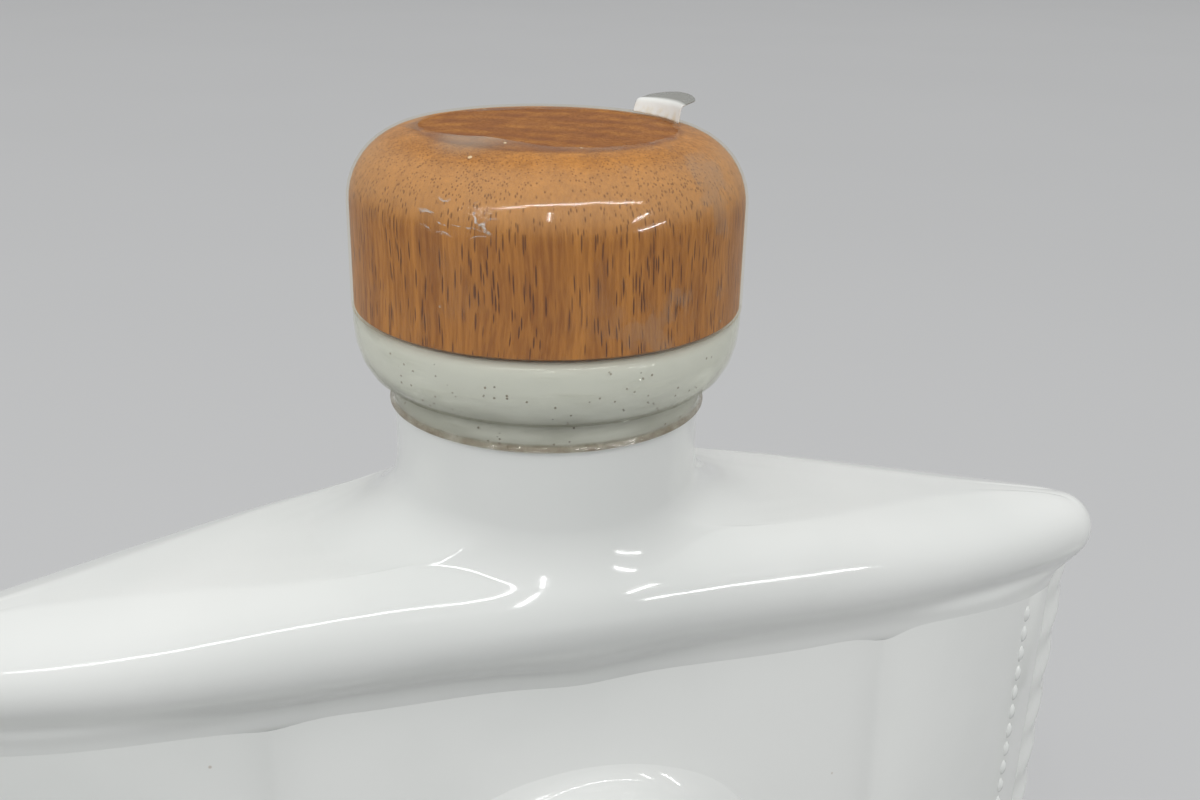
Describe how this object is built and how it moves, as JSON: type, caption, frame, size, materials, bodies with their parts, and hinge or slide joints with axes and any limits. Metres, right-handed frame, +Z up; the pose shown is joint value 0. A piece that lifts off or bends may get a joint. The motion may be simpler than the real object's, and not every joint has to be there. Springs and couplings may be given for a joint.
{
  "type": "ship decanter",
  "caption": "Hollow porcelain ship decanter: a billowed sail rises from a plank-sided hull, with a neck on its yard closed by a cork stopper with a wooden knob under shrink film.",
  "frame": {"origin": "on the table under the neck's axis, at the centre of the ground foot", "axes": "+Z up along the neck, +X along the ship towards the bow, +Y to port"},
  "size_m": [0.2436, 0.0832, 0.213],
  "materials": {
    "porcelain": "clear gloss glaze",
    "knob_wood": "oiled open-pored hardwood",
    "dowel_wood": "plain turned",
    "cork": "natural cork",
    "shrink_film": "clear, slightly yellowed",
    "tear_strip": "white film"
  },
  "bodies": {
    "decanter": {"hull": "porcelain", "bow_post": "porcelain", "stern_post": "porcelain", "gunwale_port": "porcelain", "gunwale_starboard": "porcelain", "shields_port": "porcelain", "shields_starboard": "porcelain", "sail": "porcelain", "bolt_rope_fore": "porcelain", "bolt_rope_aft": "porcelain", "sail_boss_port": "porcelain", "sail_boss_starboard": "porcelain", "yard_shoulder": "porcelain", "neck": "porcelain"},
    "film_ring": {"film_skirt": "shrink_film"},
    "stopper": {"wood_knob": "knob_wood", "stopper_dowel": "dowel_wood", "cork": "cork", "film_cap": "shrink_film", "pull_tab": "tear_strip"}
  },
  "joints": [
    {"name": "stopper_twist", "type": "hinge", "parent": "decanter", "child": "film_ring", "pos_m": [0, 0, 0.1952], "axis": [0, 0, 1], "continuous": true},
    {"name": "stopper_pull", "type": "slide", "parent": "film_ring", "child": "stopper", "axis": [0, 0, 1], "range_m": [0, 0.03]}
  ]
}
